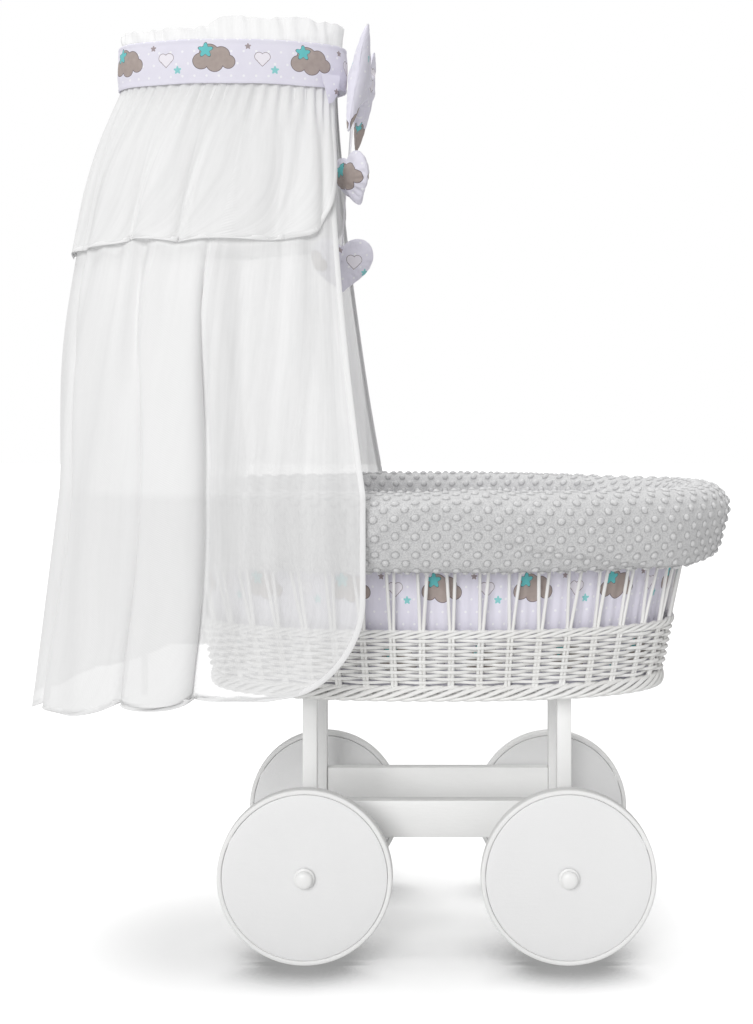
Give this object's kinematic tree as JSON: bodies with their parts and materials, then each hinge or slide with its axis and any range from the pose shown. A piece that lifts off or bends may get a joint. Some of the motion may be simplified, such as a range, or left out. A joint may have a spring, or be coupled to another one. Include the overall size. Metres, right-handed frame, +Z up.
{
  "type": "baby cradle",
  "caption": "Wicker baby cradle with a padded rim and liner on a white wooden stand with large disc wheels, under a tulle canopy on a rod.",
  "frame": {"origin": "floor level, at the middle of the bounding box's footprint", "axes": "+Z up, +X from the canopy's head end to the foot end, +Y across to the far side"},
  "size_m": [1.11, 0.5892, 1.443],
  "materials": {
    "painted_wood": "white satin paint on smooth board",
    "painted_wheel": "white satin paint on a flat board disc",
    "tyre_white": "matt white soft tread strip",
    "cap_plastic": "white moulded plastic",
    "steel": "zinc plated",
    "rod_paint": "white powder coat",
    "wicker": "willow rods sprayed white",
    "minky": "light grey plush with raised dots",
    "printed_cotton": null,
    "white_cotton": "plain white cotton cover",
    "tulle": "fine sheer white voile",
    "satin_cord": "thin satin cord"
  },
  "bodies": {
    "stand_and_basket": {"axle_head": "steel", "bearer_head": "painted_wood", "post_head_near": "painted_wood", "axle_sleeve_head_near": "steel", "washer_head_near": "steel", "axle_cap_head_near": "cap_plastic", "basket_bolt_head_near": "steel", "post_head_far": "painted_wood", "axle_sleeve_head_far": "steel", "washer_head_far": "steel", "axle_cap_head_far": "cap_plastic", "basket_bolt_head_far": "steel", "axle_foot": "steel", "bearer_foot": "painted_wood", "post_foot_near": "painted_wood", "axle_sleeve_foot_near": "steel", "washer_foot_near": "steel", "axle_cap_foot_near": "cap_plastic", "basket_bolt_foot_near": "steel", "post_foot_far": "painted_wood", "axle_sleeve_foot_far": "steel", "washer_foot_far": "steel", "axle_cap_foot_far": "cap_plastic", "basket_bolt_foot_far": "steel", "side_rail_near": "painted_wood", "side_rail_far": "painted_wood", "basket_base": "wicker", "base_border": "wicker", "woven_wall": "wicker", "stakes_and_rim": "wicker", "liner": "printed_cotton", "rim_bumper": "minky", "mattress": "white_cotton", "rod_bracket": "rod_paint"},
    "rolling_wheel_head_near": {"wheel_head_near": "painted_wheel", "tyre_head_near": "tyre_white"},
    "rolling_wheel_head_far": {"wheel_head_far": "painted_wheel", "tyre_head_far": "tyre_white"},
    "rolling_wheel_foot_near": {"wheel_foot_near": "painted_wheel", "tyre_foot_near": "tyre_white"},
    "rolling_wheel_foot_far": {"wheel_foot_far": "painted_wheel", "tyre_foot_far": "tyre_white"},
    "canopy": {"canopy_rod": "rod_paint", "ring_ferrule": "steel", "canopy_ring": "rod_paint", "canopy_band": "printed_cotton", "canopy_frill": "tulle", "valance": "tulle", "curtain": "tulle", "bow_loop_near": "printed_cotton", "bow_loop_far": "printed_cotton", "bow_knot": "printed_cotton", "band_tail": "printed_cotton"},
    "clamp_screw": {"clamp_knob": "cap_plastic"},
    "upper_heart": {"heart_upper": "printed_cotton", "cord_upper": "satin_cord"},
    "lower_heart": {"heart_lower": "printed_cotton", "cord_lower": "satin_cord"}
  },
  "joints": [
    {"name": "wheel_spin_head_near", "type": "hinge", "parent": "stand_and_basket", "child": "rolling_wheel_head_near", "pos_m": [-0.097, -0.19, 0.13], "axis": [0, 1, 0], "continuous": true},
    {"name": "wheel_spin_head_far", "type": "hinge", "parent": "stand_and_basket", "child": "rolling_wheel_head_far", "pos_m": [-0.097, 0.19, 0.13], "axis": [0, 1, 0], "continuous": true},
    {"name": "wheel_spin_foot_near", "type": "hinge", "parent": "stand_and_basket", "child": "rolling_wheel_foot_near", "pos_m": [0.293, -0.19, 0.13], "axis": [0, 1, 0], "continuous": true},
    {"name": "wheel_spin_foot_far", "type": "hinge", "parent": "stand_and_basket", "child": "rolling_wheel_foot_far", "pos_m": [0.293, 0.19, 0.13], "axis": [0, 1, 0], "continuous": true},
    {"name": "canopy_lift", "type": "slide", "parent": "stand_and_basket", "child": "canopy", "axis": [0, 0, 1], "range_m": [0, 0.08]},
    {"name": "clamp_turn", "type": "hinge", "parent": "stand_and_basket", "child": "clamp_screw", "pos_m": [-0.388, 0, 0.48], "axis": [1, 0, 0], "continuous": true},
    {"name": "upper_heart_swing", "type": "hinge", "parent": "canopy", "child": "upper_heart", "pos_m": [-0.034, -0.036, 1.29], "axis": [1, 0, 0], "range_deg": [-5, 4]},
    {"name": "lower_heart_swing", "type": "hinge", "parent": "canopy", "child": "lower_heart", "pos_m": [-0.042, 0.03, 1.29], "axis": [1, 0, 0], "range_deg": [-4, 15]}
  ]
}
